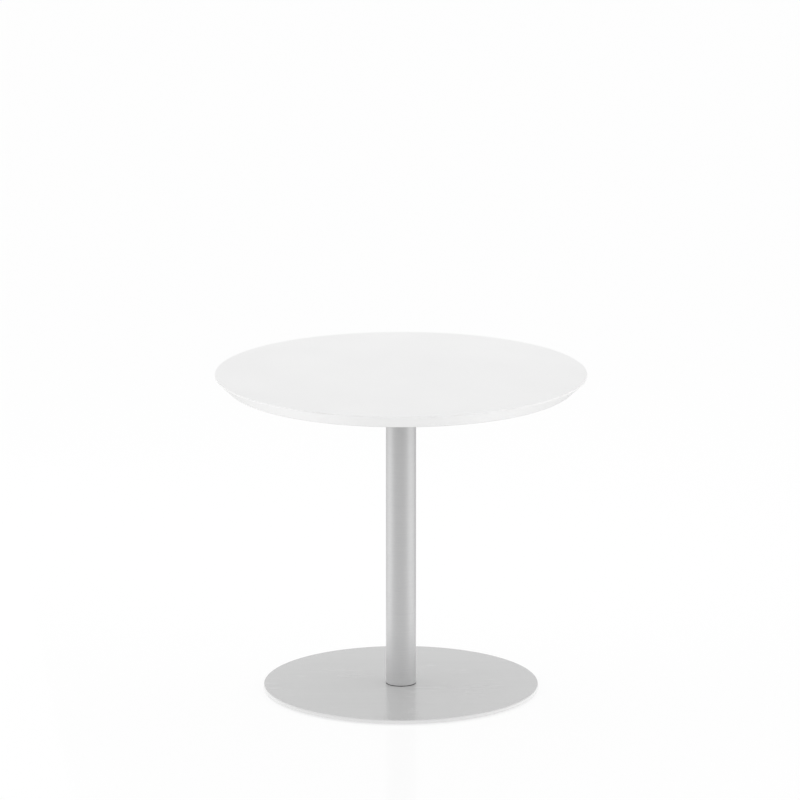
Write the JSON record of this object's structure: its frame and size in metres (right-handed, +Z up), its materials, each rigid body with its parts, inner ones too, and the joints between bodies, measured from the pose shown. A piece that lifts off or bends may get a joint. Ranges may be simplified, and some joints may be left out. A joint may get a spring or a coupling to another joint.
{
  "type": "bistro table",
  "caption": "Round bistro table: reverse-bevelled disc top on one brushed steel column, with a flat disc base on screw-adjusted levelling glides.",
  "frame": {"origin": "on the floor, under the centre of the column", "axes": "+Z up along the column; the table is round about Z; -Y towards the front"},
  "size_m": [0.7999, 0.8, 0.7],
  "materials": {
    "white_laminate": "satin white laminate",
    "white_lacquered_board": "fibreboard with satin white lacquer",
    "balancing_sheet": "matt white balancing laminate",
    "brushed_stainless": "brushed stainless steel",
    "black_powder_coat": "fine-textured black powder coat",
    "black_painted_plate": "matt black painted steel plate",
    "turned_steel": "lathe-turned steel, oiled",
    "zinc_plated_steel": "bright zinc plating",
    "black_rubber": "matt black rubber",
    "black_nylon": "moulded black nylon"
  },
  "bodies": {
    "table": {"top_laminate": "white_laminate", "top_core": "white_lacquered_board", "backing_laminate": "balancing_sheet", "threaded_inserts": "zinc_plated_steel", "head_plate": "black_powder_coat", "head_plate_screws": "zinc_plated_steel", "head_plate_washers": "zinc_plated_steel", "head_spigot": "turned_steel", "tie_rod": "zinc_plated_steel", "rod_nut": "zinc_plated_steel", "rod_spring_washer": "zinc_plated_steel", "rod_washer": "zinc_plated_steel", "column_tube": "brushed_stainless", "foot_gasket": "black_rubber", "foot_spigot": "turned_steel", "base_cover": "brushed_stainless", "ballast_plate": "black_painted_plate", "base_screws": "zinc_plated_steel"},
    "glide_foot_1": {"glide_foot_1": "black_nylon"},
    "glide_stud_1": {"glide_stud_1": "zinc_plated_steel"},
    "glide_foot_2": {"glide_foot_2": "black_nylon"},
    "glide_stud_2": {"glide_stud_2": "zinc_plated_steel"},
    "glide_foot_3": {"glide_foot_3": "black_nylon"},
    "glide_stud_3": {"glide_stud_3": "zinc_plated_steel"},
    "glide_foot_4": {"glide_foot_4": "black_nylon"},
    "glide_stud_4": {"glide_stud_4": "zinc_plated_steel"}
  },
  "joints": [
    {"name": "glide_slide_1", "type": "slide", "parent": "table", "child": "glide_foot_1", "axis": [0, 0, -1], "range_m": [0, 0.003]},
    {"name": "stud_turn_1", "type": "hinge", "parent": "glide_foot_1", "child": "glide_stud_1", "pos_m": [0.18031, 0.18031, 0.005], "axis": [0, 0, -1], "range_deg": [0, 865.2]},
    {"name": "glide_slide_2", "type": "slide", "parent": "table", "child": "glide_foot_2", "axis": [0, 0, -1], "range_m": [0, 0.003]},
    {"name": "stud_turn_2", "type": "hinge", "parent": "glide_foot_2", "child": "glide_stud_2", "pos_m": [-0.18031, 0.18031, 0.005], "axis": [0, 0, -1], "range_deg": [0, 865.2]},
    {"name": "glide_slide_3", "type": "slide", "parent": "table", "child": "glide_foot_3", "axis": [0, 0, -1], "range_m": [0, 0.003]},
    {"name": "stud_turn_3", "type": "hinge", "parent": "glide_foot_3", "child": "glide_stud_3", "pos_m": [-0.18031, -0.18031, 0.005], "axis": [0, 0, -1], "range_deg": [0, 865.2]},
    {"name": "glide_slide_4", "type": "slide", "parent": "table", "child": "glide_foot_4", "axis": [0, 0, -1], "range_m": [0, 0.003]},
    {"name": "stud_turn_4", "type": "hinge", "parent": "glide_foot_4", "child": "glide_stud_4", "pos_m": [0.18031, -0.18031, 0.005], "axis": [0, 0, -1], "range_deg": [0, 865.2]}
  ],
  "couplings": [
    {"joint": "stud_turn_1", "follows": "glide_slide_1", "rad_per_m": 5026.5},
    {"joint": "stud_turn_2", "follows": "glide_slide_2", "rad_per_m": 5026.5},
    {"joint": "stud_turn_3", "follows": "glide_slide_3", "rad_per_m": 5026.5},
    {"joint": "stud_turn_4", "follows": "glide_slide_4", "rad_per_m": 5026.5}
  ]
}
